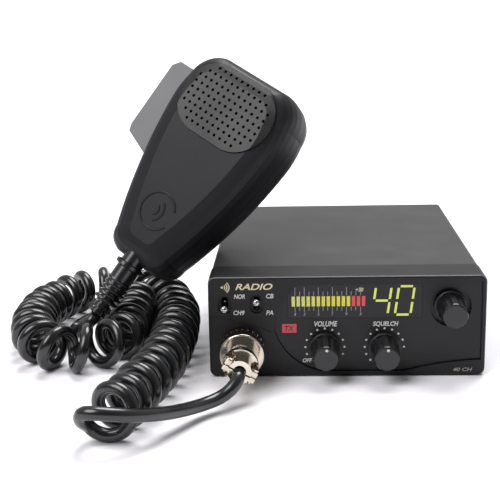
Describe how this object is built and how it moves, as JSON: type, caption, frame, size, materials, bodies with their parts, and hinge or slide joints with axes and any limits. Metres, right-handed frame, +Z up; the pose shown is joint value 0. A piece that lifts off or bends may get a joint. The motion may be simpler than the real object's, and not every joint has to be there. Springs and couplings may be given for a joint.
{
  "type": "mobile transceiver",
  "caption": "Compact two-way mobile radio with rotary controls, lit meter and channel display, and a push-to-talk handset on a curly cord.",
  "frame": {"origin": "centre of the radio's base, on the surface it stands on", "axes": "+Z up, -Y out of the front face with the controls, +X to the right as the face is seen"},
  "size_m": [0.2249, 0.2475, 0.1364],
  "materials": {
    "bezel_plastic": "moulded, fine texture",
    "fascia_plastic": "smooth satin",
    "window_plastic": "dark smoked gloss",
    "lamp_yellow": "lit segment",
    "lamp_red": "lit segment",
    "lamp_green": "lit segment",
    "lamp_lens_red": "red lens",
    "circuit_board": "green solder mask",
    "painted_steel": "satin dark grey paint",
    "zinc_steel": "zinc plated",
    "cast_alloy": "black anodised",
    "black_screw": "black oxide",
    "paper_cone": "paper",
    "ferrite": "dull grey",
    "tin_can": "bright tin",
    "capacitor_sleeve": "blue sleeve",
    "black_epoxy": "moulded",
    "nickel": "bright nickel",
    "white_insulator": "ptfe",
    "brass_pin": "plated",
    "knob_plastic": "satin moulded",
    "chrome_lever": "polished",
    "handset_plastic": "fine grained",
    "key_plastic": "light grey satin",
    "cord_rubber": "glossy black jacket"
  },
  "bodies": {
    "radio": {"front_bezel": "bezel_plastic", "fascia_panel": "fascia_plastic", "display_window": "window_plastic", "meter_segments_yellow": "lamp_yellow", "meter_segments_red": "lamp_red", "channel_digits": "lamp_green", "tx_indicator": "lamp_lens_red", "display_board": "circuit_board", "top_cover": "painted_steel", "bottom_cover": "painted_steel", "chassis_frame": "zinc_steel", "rear_panel": "cast_alloy", "case_screws": "black_screw", "bracket_inserts": "zinc_steel", "speaker_frame": "zinc_steel", "speaker_cone": "paper_cone", "speaker_magnet": "ferrite", "main_board": "circuit_board", "if_transformers": "tin_can", "capacitors": "capacitor_sleeve", "power_transistors": "black_epoxy", "audio_transformer": "ferrite", "volume_control": "zinc_steel", "squelch_control": "zinc_steel", "channel_switch": "zinc_steel", "panel_nuts": "nickel", "toggle_switches": "black_epoxy", "mic_jack": "nickel", "antenna_socket": "nickel", "antenna_insulator": "white_insulator", "power_inlet": "black_epoxy", "power_pins": "brass_pin", "speaker_jacks": "black_epoxy", "plug_shell": "nickel", "plug_insert": "black_epoxy", "plug_clamp": "nickel", "plug_screws": "nickel", "cord_tail": "cord_rubber", "cord_coil": "cord_rubber", "cord_lead": "cord_rubber"},
    "volume": {"volume_knob": "knob_plastic", "volume_shaft": "zinc_steel"},
    "squelch": {"squelch_knob": "knob_plastic", "squelch_shaft": "zinc_steel"},
    "channel": {"channel_knob": "knob_plastic", "channel_shaft": "zinc_steel"},
    "left_toggle": {"left_toggle_lever": "chrome_lever"},
    "right_toggle": {"right_toggle_lever": "chrome_lever"},
    "plug_ring": {"plug_coupling_ring": "nickel"},
    "handset": {"mic_front_shell": "handset_plastic", "mic_back_shell": "handset_plastic", "mic_grille": "handset_plastic", "ptt_spring": "zinc_steel", "ptt_switch": "black_epoxy", "mic_capsule": "tin_can", "mic_board": "circuit_board", "mic_screws": "black_screw", "hang_button": "nickel", "cord_boot": "cord_rubber"},
    "talk_key": {"ptt_key": "key_plastic"}
  },
  "joints": [
    {"name": "volume_turn", "type": "hinge", "parent": "radio", "child": "volume", "pos_m": [-0.0096, -0.0775, 0.0136], "axis": [0, -1, 0], "range_deg": [-150, 150]},
    {"name": "squelch_turn", "type": "hinge", "parent": "radio", "child": "squelch", "pos_m": [0.0167, -0.0775, 0.0135], "axis": [0, -1, 0], "range_deg": [-150, 150]},
    {"name": "channel_turn", "type": "hinge", "parent": "radio", "child": "channel", "pos_m": [0.0456, -0.0775, 0.0318], "axis": [0, -1, 0], "continuous": true},
    {"name": "left_toggle_flip", "type": "hinge", "parent": "radio", "child": "left_toggle", "pos_m": [-0.0537, -0.0735, 0.034], "axis": [1, 0, 0], "range_deg": [-26, 0]},
    {"name": "right_toggle_flip", "type": "hinge", "parent": "radio", "child": "right_toggle", "pos_m": [-0.0396, -0.0735, 0.034], "axis": [1, 0, 0], "range_deg": [0, 26]},
    {"name": "plug_ring_turn", "type": "hinge", "parent": "radio", "child": "plug_ring", "pos_m": [-0.046, -0.0835, 0.014], "axis": [0, -1, 0], "continuous": true},
    {"name": "handset_lift", "type": "slide", "parent": "radio", "child": "handset", "axis": [0, 0, 1], "range_m": [0, 0.04]},
    {"name": "talk_key_press", "type": "hinge", "parent": "handset", "child": "talk_key", "pos_m": [-0.08638, -0.01067, 0.08737], "axis": [-0.2893, -0.8402, 0.4587], "range_deg": [-4, 0], "stiffness_Nm_per_rad": 0.35, "springref_deg": 6.88, "deforming": ["ptt_spring"]}
  ]
}
